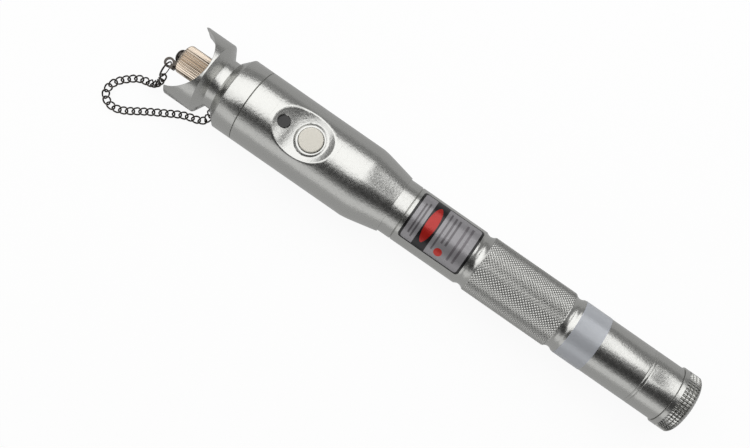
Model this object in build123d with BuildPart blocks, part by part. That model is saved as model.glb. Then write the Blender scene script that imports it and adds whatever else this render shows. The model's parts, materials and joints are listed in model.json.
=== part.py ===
from build123d import *
import math
import os

# A pen-shaped visual fault locator, lying on its side, in millimetres.
# The origin is the mouth of the fibre port, on the pen's axis. +X runs to the tail and +Z up through
# the button, so the surface that the pen lies on is at z = -body_r.

# Nose guard. Each cut into it is a depth from its outside, which follows from the bore and the wall
guard_bore_r = 7.0
guard_wall = 5.5
guard_length = 9.9
guard_cone_length = 2.4
guard_bore_depth = 11.0
scoop_r = 11.4
scoop_lead = 2.05
neck_depth = 3.9
neck_length = 3.2
collar_step = 3.0
collar_cone_length = 2.9
nose_length = 25.1
nose_shoulder = 2.1
nose_spigot_length = 6.0

# Cells and the tube round them, which the other diameters of the rear half follow from
cell_r = 7.2
cell_length = 50.5
cell_nub_r = 2.7
cell_nub = 1.2
cell_edge = 0.5
cell_room = 0.3
tube_wall = 2.1
front_spigot_wall = 1.4
front_spigot_length = 6.0
joint_spigot_wall = 1.0
joint_spigot_length = 6.0
tail_spigot_wall = 0.8
tail_spigot_length = 6.0
fit_gap = 0.05

# Head shell
nose_to_dish = 20.0
nose_to_taper = 41.9
taper_length = 12.6
taper_end_step = 0.45
taper_fullness = 0.14
head_edge = 0.3
head_bore_r = 8.2

# Finger dish, button and pilot light in the head, with depths from the head's outside
dish_length = 20.8
dish_depth = 2.54
dish_to_button = 2.65
dish_to_light = 7.4
button_r = 3.9
button_gap = 0.15
button_low = 1.5
button_height = 2.1
button_dome = 0.35
button_stem_r = 1.6
button_travel = 0.8
spot_r = 4.7
spot_depth = 2.55
light_r = 2.0
light_sink = 0.5

# Board, switch and carrier under the button
board_top_z = 1.8
board_thickness = 1.2
board_width = 13.0
board_front_gap = 1.9
board_rear_gap = 4.65
switch_side = 6.2
switch_height = 4.0
plunger_r = 1.2
plunger_rise = 1.2
plunger_gap = 0.1
carrier_clearance = 0.1
lamp_r = 1.5
lamp_height = 5.4

# Fibre port and the laser behind it
nozzle_r = 4.0
nozzle_flange_r = 6.2
nozzle_flange = 1.6
port_r = 1.25
sleeve_r = 1.6
sleeve_length = 7.4
sleeve_slit = 0.3
sleeve_inset = 0.6
laser_r = 4.5
laser_length = 15.0
laser_wall = 1.1
lens_r = 1.9
lens_length = 2.4
diode_r = 2.8
diode_length = 3.6
diode_rim = 0.8

# Dust cap and its swivel
cap_r = 4.9
cap_front = 1.6
cap_end_wall = 1.0
cap_length = 10.0
cap_bevel = 0.8
cap_ribs = 40
cap_rib_depth = 0.25
cap_thread_gap = 0.05
rivet_r = 0.8
rivet_gap = 0.08
rivet_dome_r = 2.3
rivet_dome_height = 1.5
rivet_foot_r = 1.5
rivet_foot = 0.4
tab_thickness = 0.6
tab_washer_r = 2.4
tab_gap = 0.1
eye_r = 1.7
eye_hole_r = 1.0
eye_y = -3.7
eye_reach = 1.9

# Split ring, chain and the chain's anchor
ring_r = 3.0
ring_band = 0.5
ring_width = 0.5
ring_start_y = -3.45
ring_slope = 22.0
hook_angle = 40.0
link_length = 3.3
link_width = 2.6
link_wire = 0.42
link_corner = 2 - math.sqrt(2)
link_pitch = 2.15
link_slack = 0.12
link_roll = 45.0
link_rest_gap = 0.1
anchor_angle = 45.0
anchor_post_r = 0.5
anchor_depth = 1.4
anchor_stand = 0.5
anchor_eye_r = 1.2
anchor_wire = 0.5

# Front tube with its grip, rear tube and stickers
groove_width = 3.2
groove_depth = 0.6
head_to_line = 4.4
head_to_label = 6.0
head_to_grip = 32.3
grip_length = 31.2
grip_rise = 0.3
grip_edge = 0.25
grip_to_joint = 8.5
line_width = 0.9
line_depth = 0.12
line_to_tail = 10.7
label_length = 22.6
label_angle = 112.0
label_corner = 1.2
sticker = 0.12
seal_lead = 4.7
seal_length = 9.6

# Tail cap, its spring and contacts
tail_length = 7.0
tail_rise = 0.55
tail_bevel_x = 1.3
tail_bevel_r = 1.9
tail_ribs = 54
tail_rib_depth = 0.3
tail_collar = 1.6
tail_rings = 2
tail_ring_width = 0.45
tail_wall = 2.0
tail_spigot_bore = 6.4
tail_thread_gap = 0.06
seal_ring_wire = 0.7
spring_height = 10.55
spring_wire = 0.7
spring_start_r = 5.2
spring_end_r = 3.0
spring_turns = 4
contact_r = 6.2
contact_thickness = 0.5
front_contact = 2.6
front_pin_r = 1.5

# Radii and heights that follow from the sizes above
body_r = guard_bore_r + guard_wall
neck_r = body_r - neck_depth
collar_step_r = body_r - collar_step
nose_spigot_r = body_r - nose_shoulder
button_top_z = body_r - button_low
button_skirt_z = button_top_z - button_height
spot_z = body_r - spot_depth
floor_z = -body_r
tube_bore_r = cell_r + cell_room
tube_r = tube_bore_r + tube_wall
front_spigot_r = tube_bore_r + front_spigot_wall
joint_spigot_r = tube_bore_r + joint_spigot_wall
tail_spigot_r = tube_bore_r + tail_spigot_wall
front_contact_r = tube_bore_r - 2 * fit_gap
head_end_r = tube_r + taper_end_step
grip_r = tube_r + grip_rise
tail_r = tube_r + tail_rise

# Places along the axis, from the nose back to the tail
guard_cone_end = guard_length + guard_cone_length
collar_x = guard_cone_end + neck_length
collar_cone_end = collar_x + collar_cone_length
dish_x = nose_length + nose_to_dish
dish_r = ((dish_length / 2) ** 2 + dish_depth**2) / (2 * dish_depth)
dish_axis_z = body_r - dish_depth + dish_r
button_x = dish_x + dish_to_button
light_x = dish_x - dish_to_light
head_straight_end = nose_length + nose_to_taper
head_end = head_straight_end + taper_length
front_contact_x = head_end - front_spigot_length + fit_gap
board_start = nose_length + nose_spigot_length + board_front_gap
board_length = front_contact_x - board_rear_gap - board_start
front_line_x = head_end + head_to_line
label_x = head_end + head_to_label
grip_start = head_end + head_to_grip
grip_end = grip_start + grip_length
tube_joint_x = grip_end + grip_to_joint
seal_x = tube_joint_x - seal_lead
cell_1_x = front_contact_x + front_contact + fit_gap
cell_2_x = cell_1_x + cell_length + fit_gap
cells_end = cell_2_x + cell_length
contact_x = cells_end + spring_height + spring_wire + 2 * fit_gap
tail_inner_x = contact_x + contact_thickness
tail_end = tail_inner_x + tail_wall
tail_x = tail_end - tail_length
rear_line_x = tail_x - line_to_tail
cap_mouth = cap_length - cap_front


# Nose guard: the turned cup, neck and collar in one piece, with a scoop milled across the cup that
# leaves two horns
with BuildPart() as nose_guard:
    with BuildSketch(Plane.XY):
        with BuildLine():
            Polyline(
                (0, guard_bore_r),
                (0, body_r),
                (guard_length, body_r),
                (guard_cone_end, neck_r),
                (collar_x, neck_r),
                (collar_x, collar_step_r),
                (collar_cone_end, body_r),
                (nose_length, body_r),
                (nose_length, nose_spigot_r),
                (nose_length + nose_spigot_length, nose_spigot_r),
                (nose_length + nose_spigot_length, laser_r + fit_gap),
                (guard_bore_depth, laser_r + fit_gap),
                (guard_bore_depth, guard_bore_r),
                close=True,
            )
        make_face()
    revolve(axis=Axis.X)
    with BuildSketch(Plane.XY):
        with Locations((-scoop_lead, 0)):
            Circle(scoop_r)
    extrude(amount=2 * body_r, both=True, mode=Mode.SUBTRACT)
    anchor_x = (guard_cone_end + collar_x) / 2
    anchor_dir = Vector(0, -math.sin(math.radians(anchor_angle)), -math.cos(math.radians(anchor_angle)))
    anchor_plane = Plane(
        origin=Vector(anchor_x, 0, 0) + anchor_dir * (neck_r - anchor_depth), x_dir=(1, 0, 0), z_dir=anchor_dir
    )
    with BuildSketch(anchor_plane):
        Circle(anchor_post_r + fit_gap)
    extrude(amount=2 * anchor_depth, mode=Mode.SUBTRACT)
nose_guard.part.label = "nose_guard"

# Port nozzle: the threaded tube that the dust cap screws on, with a flange on the guard's floor
nozzle_back = guard_bore_depth
with BuildPart() as port_nozzle:
    with BuildSketch(Plane.XY):
        with BuildLine():
            Polyline(
                (0, port_r),
                (0, nozzle_r - head_edge),
                (head_edge, nozzle_r),
                (nozzle_back - nozzle_flange, nozzle_r),
                (nozzle_back - nozzle_flange, nozzle_flange_r),
                (nozzle_back, nozzle_flange_r),
                (nozzle_back, sleeve_r + fit_gap),
                (sleeve_inset, sleeve_r + fit_gap),
                (sleeve_inset, port_r),
                close=True,
            )
        make_face()
    revolve(axis=Axis.X)
port_nozzle.part.label = "port_nozzle"

# Split ceramic sleeve that grips the ferrule
with BuildPart() as ferrule_sleeve:
    with BuildSketch(Plane.YZ.offset(sleeve_inset + fit_gap)):
        Circle(sleeve_r)
        Circle(port_r, mode=Mode.SUBTRACT)
        with Locations((0, -sleeve_r)):
            Rectangle(sleeve_slit, 2 * (sleeve_r - port_r) + sleeve_slit, mode=Mode.SUBTRACT)
    extrude(amount=sleeve_length)
ferrule_sleeve.part.label = "ferrule_sleeve"

# Laser module: a brass barrel with a lens in front and the diode can behind
laser_x = guard_bore_depth
laser_end = laser_x + laser_length
with BuildPart() as laser_barrel:
    with BuildSketch(Plane.XY):
        with BuildLine():
            Polyline(
                (laser_x, port_r),
                (laser_x, laser_r),
                (laser_end, laser_r),
                (laser_end, diode_r + fit_gap),
                (laser_end - diode_length, diode_r + fit_gap),
                (laser_end - diode_length, lens_r + fit_gap),
                (laser_x + laser_wall, lens_r + fit_gap),
                (laser_x + laser_wall, port_r),
                close=True,
            )
        make_face()
    revolve(axis=Axis.X)
laser_barrel.part.label = "laser_barrel"

with BuildPart() as focus_lens:
    with BuildSketch(Plane.XY):
        with BuildLine():
            lens_front = laser_x + laser_wall
            lens_back = lens_front + lens_length
            Polyline((lens_back, lens_r), (lens_front, lens_r), (lens_front, 0), (lens_back + port_r / 2, 0))
            ThreePointArc(
                (lens_back + port_r / 2, 0),
                (lens_back + port_r / 2 * 0.78, lens_r / 2),
                (lens_back, lens_r),
            )
        make_face()
    revolve(axis=Axis.X)
focus_lens.part.label = "focus_lens"

with BuildPart() as laser_diode:
    with BuildSketch(Plane.YZ.offset(laser_end - diode_length)):
        Circle(diode_r - diode_rim)
    extrude(amount=diode_length - 2 * fit_gap)
    with BuildSketch(Plane.YZ.offset(laser_end - diode_rim)):
        Circle(diode_r)
    extrude(amount=diode_rim)
laser_diode.part.label = "laser_diode"

# Head shell: straight barrel, long taper, finger dish across the top, button and light holes
with BuildPart() as head_shell:
    with BuildSketch(Plane.XY):
        with BuildLine():
            Polyline(
                (head_end, front_spigot_r + fit_gap),
                (head_end - front_spigot_length, front_spigot_r + fit_gap),
                (head_end - front_spigot_length, head_bore_r),
                (nose_length + nose_spigot_length, head_bore_r),
                (nose_length + nose_spigot_length, nose_spigot_r + fit_gap),
                (nose_length, nose_spigot_r + fit_gap),
                (nose_length, body_r - head_edge),
                (nose_length + head_edge, body_r),
                (head_straight_end, body_r),
            )
            Spline(
                (head_straight_end, body_r),
                ((head_straight_end + head_end) / 2, (body_r + head_end_r) / 2 + taper_fullness),
                (head_end, head_end_r),
                tangents=[(1, -0.06), (1, -0.24)],
            )
            Line((head_end, head_end_r), (head_end, front_spigot_r + fit_gap))
        make_face()
    revolve(axis=Axis.X)
    with BuildSketch(Plane.XZ):
        with Locations((dish_x, dish_axis_z)):
            Circle(dish_r)
    extrude(amount=body_r, both=True, mode=Mode.SUBTRACT)
    with BuildSketch(Plane.XY.offset(spot_z)):
        with Locations((button_x, 0)):
            Circle(spot_r)
    extrude(amount=dish_depth, mode=Mode.SUBTRACT)
    with BuildSketch(Plane.XY):
        with Locations((button_x, 0)):
            Circle(button_r + button_gap)
        with Locations((light_x, 0)):
            Circle(light_r)
    extrude(amount=body_r, mode=Mode.SUBTRACT)
head_shell.part.label = "head_shell"

# Push button: a slightly crowned cap with a skirt and a stem that bears on the switch
plunger_top_z = board_top_z + switch_height + plunger_rise
with BuildPart() as power_button:
    with BuildSketch(Plane.XY.offset(button_skirt_z)):
        with Locations((button_x, 0)):
            Circle(button_r)
    extrude(amount=button_top_z - button_skirt_z)
    rim = power_button.edges().filter_by(GeomType.CIRCLE).sort_by(Axis.Z)[-1]
    chamfer(rim, length=button_dome / 2, length2=button_dome)
    with BuildSketch(Plane.XY.offset(plunger_top_z)):
        with Locations((button_x, 0)):
            Circle(button_stem_r)
    extrude(amount=button_skirt_z - plunger_top_z)
power_button.part.label = "power_button"

with BuildPart() as switch_plunger:
    with BuildSketch(Plane.XY.offset(plunger_top_z - 2 * plunger_rise)):
        with Locations((button_x, 0)):
            Circle(plunger_r)
    extrude(amount=2 * plunger_rise)
switch_plunger.part.label = "switch_plunger"

# Switch body with a well that the plunger travels in
with BuildPart() as power_switch:
    with BuildSketch(Plane.XY.offset(board_top_z)):
        with Locations((button_x, 0)):
            RectangleRounded(switch_side, switch_side, plunger_r / 2)
    extrude(amount=switch_height)
    with BuildSketch(Plane.XY.offset(plunger_top_z - 2 * plunger_rise - button_travel - plunger_gap)):
        with Locations((button_x, 0)):
            Circle(plunger_r + plunger_gap)
    extrude(amount=switch_height, mode=Mode.SUBTRACT)
power_switch.part.label = "power_switch"

with BuildPart() as circuit_board:
    with BuildSketch(Plane.XY.offset(board_top_z - board_thickness)):
        with Locations((board_start + board_length / 2, 0)):
            RectangleRounded(board_length, board_width, plunger_r)
    extrude(amount=board_thickness)
circuit_board.part.label = "circuit_board"

# Carrier: the lower half of a plug that fills the head under the board and holds it up
with BuildPart() as board_carrier:
    with BuildSketch(Plane.YZ.offset(board_start)):
        Circle(head_bore_r - carrier_clearance)
        with Locations((0, board_top_z - board_thickness + head_bore_r)):
            Rectangle(2 * head_bore_r, 2 * head_bore_r, mode=Mode.SUBTRACT)
    extrude(amount=board_length)
board_carrier.part.label = "board_carrier"

with BuildPart() as indicator_led:
    with BuildSketch(Plane.XY.offset(board_top_z)):
        with Locations((light_x, 0)):
            Circle(lamp_r)
    extrude(amount=lamp_height)
    fillet(indicator_led.edges().filter_by(GeomType.CIRCLE).sort_by(Axis.Z)[-1], lamp_r * 0.9)
indicator_led.part.label = "indicator_led"

# Smoked window in the light hole, a little below the dish
light_floor_z = dish_axis_z - math.sqrt(dish_r**2 - (light_x - dish_x) ** 2)
with BuildPart() as light_window:
    with BuildSketch(Plane.XY.offset(board_top_z + lamp_height + fit_gap)):
        with Locations((light_x, 0)):
            Circle(light_r - fit_gap / 2)
    extrude(amount=light_floor_z - light_sink - board_top_z - lamp_height - fit_gap)
light_window.part.label = "light_window"

# Dust cap with axial knurling, screwed on the nozzle
with BuildPart() as dust_cap:
    with BuildSketch(Plane.XY):
        with BuildLine():
            Polyline(
                (-cap_front, rivet_r + rivet_gap),
                (-cap_front, cap_r - cap_bevel),
                (-cap_front + cap_bevel * 0.3, cap_r - cap_bevel * 0.4),
                (-cap_front + cap_bevel, cap_r),
                (cap_mouth, cap_r),
                (cap_mouth, nozzle_r + cap_thread_gap),
                (-cap_front + cap_end_wall, nozzle_r + cap_thread_gap),
                (-cap_front + cap_end_wall, rivet_r + rivet_gap),
                close=True,
            )
        make_face()
    revolve(axis=Axis.X)
    with BuildSketch(Plane.YZ.offset(-cap_front)):
        with PolarLocations(cap_r, cap_ribs):
            Rectangle(cap_rib_depth * math.sqrt(2), cap_rib_depth * math.sqrt(2), rotation=45)
    extrude(amount=cap_length, mode=Mode.SUBTRACT)
dust_cap.part.label = "dust_cap"

# Rivet through the cap's end, which the swivel tab turns on
rivet_seat = -cap_front - tab_thickness - 2 * tab_gap
dome_ball_r = (rivet_dome_r**2 + rivet_dome_height**2) / (2 * rivet_dome_height)
dome_centre_x = rivet_seat - rivet_dome_height + dome_ball_r
dome_half = math.asin(rivet_dome_r / dome_ball_r) / 2
with BuildPart() as swivel_rivet:
    with BuildSketch(Plane.XY):
        with BuildLine():
            Polyline(
                (rivet_seat - rivet_dome_height, 0),
                (-cap_front + cap_end_wall + rivet_foot, 0),
                (-cap_front + cap_end_wall + rivet_foot, rivet_foot_r),
                (-cap_front + cap_end_wall, rivet_foot_r),
                (-cap_front + cap_end_wall, rivet_r),
                (rivet_seat, rivet_r),
                (rivet_seat, rivet_dome_r),
            )
            ThreePointArc(
                (rivet_seat, rivet_dome_r),
                (dome_centre_x - dome_ball_r * math.cos(dome_half), dome_ball_r * math.sin(dome_half)),
                (rivet_seat - rivet_dome_height, 0),
            )
        make_face()
    revolve(axis=Axis.X)
swivel_rivet.part.label = "swivel_rivet"

# Swivel tab: a washer on the rivet with a tongue bent forward into a level eye for the ring
tab_front = -cap_front - tab_gap - tab_thickness
eye_x = tab_front - eye_reach
with BuildPart() as swivel_tab:
    with BuildSketch(Plane.YZ.offset(tab_front)):
        Circle(tab_washer_r)
        with Locations((eye_y / 2, 0)):
            Rectangle(-eye_y, 2 * rivet_foot_r)
        with Locations((eye_y, 0)):
            Circle(rivet_foot_r)
        Circle(rivet_r + rivet_gap, mode=Mode.SUBTRACT)
    extrude(amount=tab_thickness)
    with BuildSketch(Plane.XY):
        with Locations((eye_x, eye_y)):
            Circle(eye_r)
        with Locations(((eye_x + tab_front) / 2, eye_y)):
            Rectangle(eye_reach, 2 * rivet_foot_r)
        with Locations((eye_x, eye_y)):
            Circle(eye_hole_r, mode=Mode.SUBTRACT)
    extrude(amount=tab_thickness / 2, both=True)
swivel_tab.part.label = "swivel_tab"

# Split ring, standing across the pen, its near side in the eye and its low side in the first link
slope = math.radians(ring_slope)
ring_mid_r = ring_r - ring_band / 2
ring_dir = Vector(0, -math.cos(slope), -math.sin(slope))
ring_centre = Vector(eye_x, ring_start_y, 0) + ring_dir * ring_mid_r
hook_dir = Vector(0, -math.sin(math.radians(hook_angle)), -math.cos(math.radians(hook_angle)))
ring_hook = ring_centre + hook_dir * ring_mid_r
with BuildPart() as split_ring:
    with BuildSketch(Plane(origin=ring_centre, x_dir=(0, 1, 0), z_dir=(1, 0, 0))):
        Circle(ring_r)
        Circle(ring_r - ring_band, mode=Mode.SUBTRACT)
    extrude(amount=ring_width / 2, both=True)
split_ring.part.label = "split_ring"

# Chain: from the ring down to the surface, out in a loop beside the head and up to the anchor under
# the neck. The links lean to one side and the other in turn, from the first, which lies across the ring
roll_lean = math.radians(link_roll)
link_rest_z = floor_z + link_width / 2 * math.sin(roll_lean) + link_wire / 2 * math.cos(roll_lean) + link_rest_gap
eye_centre = Vector(anchor_x, 0, 0) + anchor_dir * (neck_r + anchor_stand + anchor_eye_r)
hook_lap = link_pitch / 2 - (link_length / 2 - link_wire - ring_band / 2 - link_slack)
chain_start = ring_hook - hook_dir * hook_lap
chain_end = eye_centre + anchor_dir * (anchor_eye_r - anchor_wire / 2 - hook_lap)
route = [
    chain_start,
    chain_start + hook_dir * link_pitch,
    (-5.0, -10.2, -6.9),
    (-6.6, -11.0, -9.1),
    (-9.0, -11.4, -10.8),
    (-11.9, -12.1, link_rest_z),
    (-14.4, -13.9, link_rest_z),
    (-16.7, -16.3, link_rest_z),
    (-18.1, -19.1, link_rest_z),
    (-17.8, -22.0, link_rest_z),
    (-15.7, -24.0, link_rest_z),
    (-12.7, -24.4, link_rest_z),
    (-9.7, -23.4, link_rest_z),
    (-6.5, -21.4, link_rest_z),
    (-2.6, -18.9, link_rest_z),
    (2.5, -15.9, link_rest_z),
    (6.6, -13.7, link_rest_z),
    (9.7, -12.7, link_rest_z),
    (11.9, -12.0, link_rest_z + 2 * link_rest_gap),
    (13.4, -10.9, -10.5),
    chain_end + anchor_dir * 0.9 * link_pitch,
    chain_end,
]
chain_path = Spline(*route)
link_count = round(chain_path.length / link_pitch)
link_planes = []
for i in range(link_count):
    along = (i + 0.5) * chain_path.length / link_count
    centre = chain_path.position_at(along, position_mode=PositionMode.LENGTH)
    tangent = chain_path.tangent_at(along, position_mode=PositionMode.LENGTH)
    level = tangent.cross(Vector(0, 0, 1)).normalized()
    lean = max(0, 1 - i / 4) * roll_lean + (roll_lean if i % 2 else -roll_lean)
    face_dir = level * math.sin(lean) + level.cross(tangent) * math.cos(lean)
    link_planes.append(Plane(origin=centre, x_dir=tangent, z_dir=face_dir))
last_width = link_planes[-1].y_dir

# Each end of a link is half a regular octagon, because there are many links and each is small. Its
# corner cut is the share link_corner of half the width
with BuildSketch() as link_outline:
    Rectangle(link_length, link_width)
    chamfer(link_outline.vertices(), link_width / 2 * link_corner)
with BuildSketch() as link_hole:
    Rectangle(link_length - 2 * link_wire, link_width - 2 * link_wire)
    chamfer(link_hole.vertices(), (link_width / 2 - link_wire) * link_corner)
with BuildPart() as tether_chain:
    with BuildSketch(*link_planes):
        add(link_outline.sketch)
        add(link_hole.sketch, mode=Mode.SUBTRACT)
    extrude(amount=link_wire / 2, both=True)
tether_chain.part.label = "tether_chain"

# Anchor: an eye on a post pressed into the neck
with BuildPart() as chain_anchor:
    with BuildSketch(anchor_plane):
        Circle(anchor_post_r)
    extrude(amount=anchor_depth + anchor_stand + anchor_wire / 2)
    with BuildSketch(Plane(origin=eye_centre, x_dir=anchor_dir, z_dir=last_width)):
        Circle(anchor_eye_r)
        Circle(anchor_eye_r - anchor_wire, mode=Mode.SUBTRACT)
    extrude(amount=anchor_wire / 2, both=True)
chain_anchor.part.label = "chain_anchor"

# Front tube: spigot in the head, a fine turned line, plain stretch for the label, a groove each side
# of the grip
with BuildPart() as front_tube:
    with BuildSketch(Plane.XY):
        with BuildLine():
            groove_1 = grip_start - groove_width
            groove_2 = grip_end + groove_width
            Polyline(
                (groove_1, tube_r),
                (front_line_x + line_width, tube_r),
                (front_line_x + line_width / 2, tube_r - line_depth),
                (front_line_x, tube_r),
                (head_end, tube_r),
                (head_end, front_spigot_r),
                (head_end - front_spigot_length + fit_gap, front_spigot_r),
                (head_end - front_spigot_length + fit_gap, tube_bore_r),
                (tube_joint_x - joint_spigot_length, tube_bore_r),
                (tube_joint_x - joint_spigot_length, joint_spigot_r + fit_gap),
                (tube_joint_x, joint_spigot_r + fit_gap),
                (tube_joint_x, tube_r),
                (groove_2, tube_r),
            )
            ThreePointArc(
                (groove_2, tube_r),
                (grip_end + groove_width / 2, tube_r - groove_depth),
                (grip_end, tube_r),
            )
            Polyline(
                (grip_end, tube_r),
                (grip_end, grip_r - grip_edge),
                (grip_end - grip_edge, grip_r),
                (grip_start + grip_edge, grip_r),
                (grip_start, grip_r - grip_edge),
                (grip_start, tube_r),
            )
            ThreePointArc(
                (grip_start, tube_r),
                (grip_start - groove_width / 2, tube_r - groove_depth),
                (groove_1, tube_r),
            )
        make_face()
    revolve(axis=Axis.X)
front_tube.part.label = "front_tube"

# Rear tube: spigot in the front tube, a fine turned line, thread for the tail cap
with BuildPart() as rear_tube:
    with BuildSketch(Plane.XY):
        with BuildLine():
            Polyline(
                (tube_joint_x, joint_spigot_r),
                (tube_joint_x, tube_r),
                (rear_line_x, tube_r),
                (rear_line_x + line_width / 2, tube_r - line_depth),
                (rear_line_x + line_width, tube_r),
                (tail_x, tube_r),
                (tail_x, tail_spigot_r + tail_thread_gap),
                (tail_x - tail_spigot_length - fit_gap, tail_spigot_r + tail_thread_gap),
                (tail_x - tail_spigot_length - fit_gap, tube_bore_r),
                (tube_joint_x - joint_spigot_length + fit_gap, tube_bore_r),
                (tube_joint_x - joint_spigot_length + fit_gap, joint_spigot_r),
                close=True,
            )
        make_face()
    revolve(axis=Axis.X)
rear_tube.part.label = "rear_tube"

# Label: a thin patch with rounded corners wrapped on the front tube, in line with the button
with BuildPart() as label_patch:
    with BuildSketch(Plane.YZ.offset(label_x)):
        Circle(tube_r + sticker)
        Circle(tube_r, mode=Mode.SUBTRACT)
    extrude(amount=label_length)
    with BuildSketch(Plane.XY):
        with Locations((label_x + label_length / 2, 0)):
            RectangleRounded(label_length, 2 * tube_r * math.sin(math.radians(label_angle / 2)), label_corner)
    extrude(amount=2 * tube_r, mode=Mode.INTERSECT)
label_patch.part.label = "label_patch"

# Seal band: a plain sticker right round the joint of the two tubes
with BuildPart() as seal_band:
    with BuildSketch(Plane.YZ.offset(seal_x)):
        Circle(tube_r + sticker)
        Circle(tube_r, mode=Mode.SUBTRACT)
    extrude(amount=seal_length)
seal_band.part.label = "seal_band"

# Tail cap: knurled cup with a threaded spigot that goes into the rear tube
with BuildPart() as tail_cap:
    with BuildSketch(Plane.XY):
        with BuildLine():
            Polyline(
                (tail_x + fit_gap, tail_spigot_r),
                (tail_x + fit_gap, tail_r),
                (tail_end - tail_bevel_x, tail_r),
                (tail_end - tail_bevel_x * 0.3, tail_r - tail_bevel_r * 0.45),
                (tail_end, tail_r - tail_bevel_r),
                (tail_end, 0),
                (tail_inner_x, 0),
                (tail_inner_x, tail_spigot_bore),
                (tail_x - tail_spigot_length, tail_spigot_bore),
                (tail_x - tail_spigot_length, tail_spigot_r),
                (tail_x - 2 * seal_ring_wire, tail_spigot_r),
                (tail_x - 2 * seal_ring_wire, tail_spigot_r - seal_ring_wire),
                (tail_x - seal_ring_wire, tail_spigot_r - seal_ring_wire),
                (tail_x - seal_ring_wire, tail_spigot_r),
                close=True,
            )
        make_face()
    revolve(axis=Axis.X)
    knurl_x = tail_x + tail_collar
    with BuildSketch(Plane.YZ.offset(knurl_x)):
        with PolarLocations(tail_r, tail_ribs):
            Rectangle(tail_rib_depth * math.sqrt(2), tail_rib_depth * math.sqrt(2), rotation=45)
    extrude(amount=tail_length, mode=Mode.SUBTRACT)
    ring_pitch = (tail_end - tail_bevel_x - knurl_x) / tail_rings
    for i in range(tail_rings):
        with BuildSketch(Plane.YZ.offset(knurl_x + ring_pitch * (i + 1) - tail_ring_width / 2)):
            Circle(tail_r + tail_rib_depth)
            Circle(tail_r - tail_rib_depth, mode=Mode.SUBTRACT)
        extrude(amount=tail_ring_width, mode=Mode.SUBTRACT)
tail_cap.part.label = "tail_cap"

with BuildPart() as tail_seal:
    with BuildSketch(Plane.XY):
        with Locations((tail_x - 1.5 * seal_ring_wire, tail_spigot_r - seal_ring_wire / 2)):
            Circle(seal_ring_wire / 2 - fit_gap / 2)
    revolve(axis=Axis.X)
tail_seal.part.label = "tail_seal"

with BuildPart() as tail_contact:
    with BuildSketch(Plane.YZ.offset(contact_x)):
        Circle(contact_r)
    extrude(amount=contact_thickness)
tail_contact.part.label = "tail_contact"


def cell(start):
    """One AA cell with its nub towards the nose."""
    with BuildPart() as body:
        with BuildSketch(Plane.YZ.offset(start + cell_nub)):
            Circle(cell_r)
        extrude(amount=cell_length - cell_nub)
        chamfer(body.edges().filter_by(GeomType.CIRCLE), cell_edge)
        with BuildSketch(Plane.YZ.offset(start)):
            Circle(cell_nub_r)
        extrude(amount=cell_nub)
    return body


battery_front = cell(cell_1_x)
battery_front.part.label = "battery_front"
battery_rear = cell(cell_2_x)
battery_rear.part.label = "battery_rear"

# Tail spring: wire swept along a tapering helix
cone_angle = math.degrees(math.atan2(spring_start_r - spring_end_r, spring_height))
with BuildPart() as tail_spring:
    with BuildLine():
        coil = Helix(
            pitch=spring_height / spring_turns,
            height=spring_height,
            radius=spring_start_r,
            center=(contact_x - spring_wire / 2 - fit_gap, 0, 0),
            direction=(-1, 0, 0),
            cone_angle=-cone_angle,
        )
    with BuildSketch(Plane(origin=coil @ 0, z_dir=coil % 0)):
        RegularPolygon(spring_wire / 2, 6)
    sweep(is_frenet=True)
tail_spring.part.label = "tail_spring"

# Front contact: an insulating disc with a metal pin for the first cell's nub
with BuildPart() as front_contact_disc:
    with BuildSketch(Plane.YZ.offset(front_contact_x)):
        Circle(front_contact_r)
        Circle(front_pin_r + fit_gap / 2, mode=Mode.SUBTRACT)
    extrude(amount=front_contact)
front_contact_disc.part.label = "front_contact_disc"

with BuildPart() as front_contact_pin:
    with BuildSketch(Plane.YZ.offset(front_contact_x - front_contact)):
        Circle(front_pin_r)
    extrude(amount=2 * front_contact)
front_contact_pin.part.label = "front_contact_pin"

pieces = [
    nose_guard,
    port_nozzle,
    ferrule_sleeve,
    laser_barrel,
    focus_lens,
    laser_diode,
    head_shell,
    power_button,
    switch_plunger,
    power_switch,
    circuit_board,
    board_carrier,
    indicator_led,
    light_window,
    dust_cap,
    swivel_rivet,
    swivel_tab,
    split_ring,
    tether_chain,
    chain_anchor,
    front_tube,
    rear_tube,
    label_patch,
    seal_band,
    tail_cap,
    tail_seal,
    tail_contact,
    tail_spring,
    battery_front,
    battery_rear,
    front_contact_disc,
    front_contact_pin,
]
os.makedirs("parts", exist_ok=True)
for piece in pieces:
    export_step(piece.part, f"parts/{piece.part.label}.step")
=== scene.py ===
# %% [markdown]
# # A pen-shaped visual fault locator
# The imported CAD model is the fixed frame. Turned and knurled metal pieces are rebuilt here as fine
# surfaces over their CAD solids, and every other solid keeps its mesh and gets a real material.
# Blender works in metres, and the sizes below are in millimetres, so MM turns one into the other.

# %% Load the frame
import json
import math

import bmesh
import bpy
import numpy as np
from mathutils import Matrix, Vector


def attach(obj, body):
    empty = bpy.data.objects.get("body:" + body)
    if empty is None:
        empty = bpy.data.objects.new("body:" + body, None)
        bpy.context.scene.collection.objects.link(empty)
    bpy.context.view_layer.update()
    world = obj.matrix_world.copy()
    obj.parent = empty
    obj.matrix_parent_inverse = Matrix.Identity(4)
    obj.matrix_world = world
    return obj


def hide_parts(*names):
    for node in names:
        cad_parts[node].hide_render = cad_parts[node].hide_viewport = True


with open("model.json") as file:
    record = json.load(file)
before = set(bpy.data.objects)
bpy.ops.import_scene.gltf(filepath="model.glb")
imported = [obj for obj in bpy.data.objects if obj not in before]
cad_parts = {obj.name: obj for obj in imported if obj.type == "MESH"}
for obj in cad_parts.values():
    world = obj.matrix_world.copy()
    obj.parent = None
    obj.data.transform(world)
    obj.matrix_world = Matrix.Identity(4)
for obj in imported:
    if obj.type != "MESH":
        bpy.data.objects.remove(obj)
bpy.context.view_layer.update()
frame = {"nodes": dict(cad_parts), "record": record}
nodes = frame["nodes"]
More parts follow.
